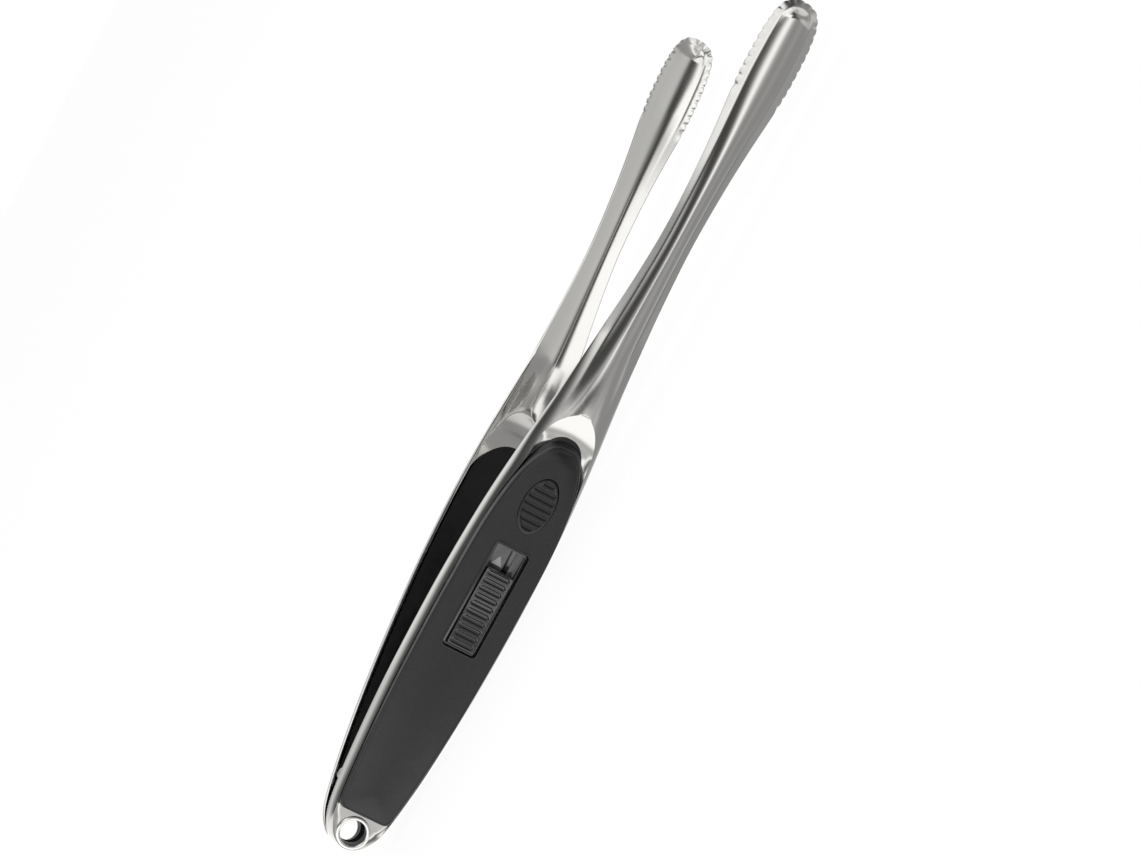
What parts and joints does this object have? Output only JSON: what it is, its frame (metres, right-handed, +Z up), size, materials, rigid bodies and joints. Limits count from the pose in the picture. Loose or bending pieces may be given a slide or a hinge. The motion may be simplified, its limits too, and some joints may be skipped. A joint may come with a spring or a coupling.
{
  "type": "barbecue tongs",
  "caption": "Spring-hinged barbecue tongs with pressed steel arms, scalloped jaws, black rubber grips, a hanging hole and a sliding lock, lying open on one side.",
  "frame": {"origin": "middle of the underside of the whole: the tongs lie open on the side edges of both arms", "axes": "+X from the hanging hole to the jaws along the middle plane, +Z up across the width of the handles, near arm with the slide lock at -Y"},
  "size_m": [0.3472, 0.1244, 0.0349],
  "materials": {
    "steel": "polished stainless steel sheet",
    "eyelet_steel": "polished steel eyelet",
    "plated_steel": "plated steel with fine grinding marks",
    "spring_steel": "drawn spring steel, slightly darker",
    "rubber": "matte black rubber with a fine leather grain",
    "plastic": "black moulded plastic with a fine spark texture",
    "gloss_plastic": "smooth black moulded plastic",
    "nylon": "natural nylon"
  },
  "bodies": {
    "far_side": {"far_arm": "steel", "far_grip": "rubber", "far_liner": "plastic", "far_thumb_rest": "gloss_plastic", "far_hang_eyelet": "eyelet_steel", "far_hinge_bracket": "plated_steel", "far_liner_screw_1": "plated_steel", "far_liner_screw_2": "plated_steel", "lock_keeper": "plated_steel", "hinge_pin": "plated_steel", "pin_push_nut": "spring_steel", "lower_hinge_washer": "nylon", "upper_hinge_washer": "nylon", "spring_sleeve": "nylon", "torsion_spring": "spring_steel"},
    "near_side": {"near_arm": "steel", "near_grip": "rubber", "near_liner": "plastic", "near_thumb_rest": "gloss_plastic", "near_hang_eyelet": "eyelet_steel", "near_hinge_bracket": "plated_steel", "near_liner_screw_1": "plated_steel", "near_liner_screw_2": "plated_steel", "slide_track": "plastic"},
    "slide_lock": {"lock_slider": "gloss_plastic", "lock_hook": "plated_steel", "hook_clip": "plated_steel", "detent_spring": "spring_steel"}
  },
  "joints": [
    {"name": "arm_hinge", "type": "hinge", "parent": "far_side", "child": "near_side", "pos_m": [-0.14873, 0, 0.01744], "axis": [0, 0, 1], "range_deg": [0, 20.45], "stiffness_Nm_per_rad": 0.66, "springref_deg": -34.38, "deforming": ["torsion_spring"]},
    {"name": "lock_slide", "type": "slide", "parent": "near_side", "child": "slide_lock", "axis": [0.9863, -0.165, 0], "range_m": [0, 0.0087]}
  ]
}
